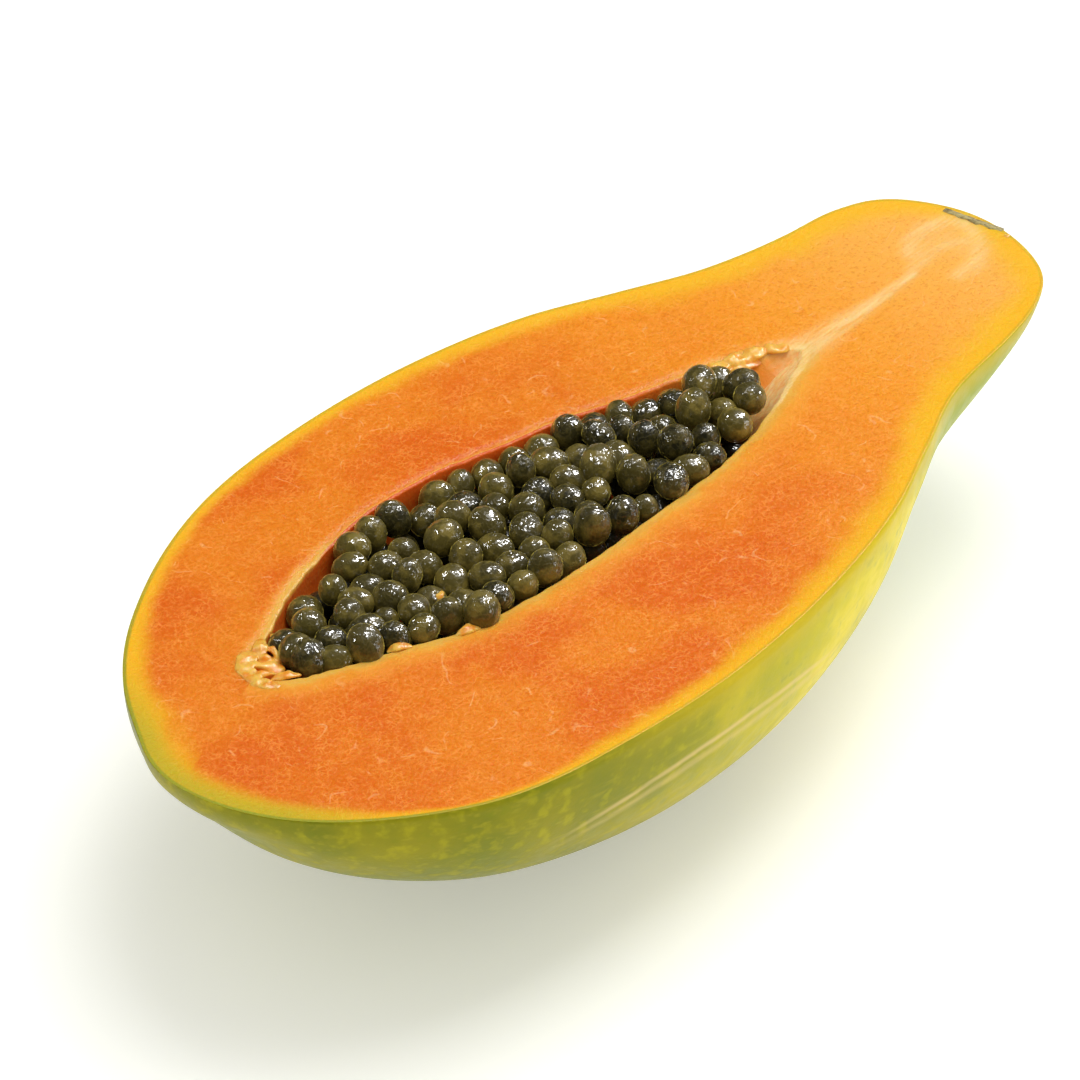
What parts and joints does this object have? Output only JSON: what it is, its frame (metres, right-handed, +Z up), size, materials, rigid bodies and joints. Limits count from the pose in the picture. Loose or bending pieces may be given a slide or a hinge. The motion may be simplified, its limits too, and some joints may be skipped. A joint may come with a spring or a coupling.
{
  "type": "papaya half",
  "caption": "Ripe papaya cut in half lengthwise, with orange flesh, green skin and a hollow full of round dark seeds, lying on its back with the cut face up.",
  "frame": {"origin": "On the surface that the fruit lies on, under the middle of its outline seen from above.", "axes": "+X runs along the fruit from the blossom end to the stalk end, +Z is up, out of the cut face, and +Y is the side with the thinner flesh beside the hollow."},
  "size_m": [0.19, 0.0896, 0.0514],
  "materials": {
    "flesh": "moist, fine-grained ripe flesh with a satin sheen",
    "seed": "dark wrinkled seed under a clear wet coat, glossy",
    "skin": "smooth waxy fruit skin, green turning yellow",
    "stalk_scar": "dry, ragged grey-brown cork"
  },
  "bodies": {
    "root": {"fruit_half": "flesh", "seeds": "seed"}
  },
  "joints": []
}
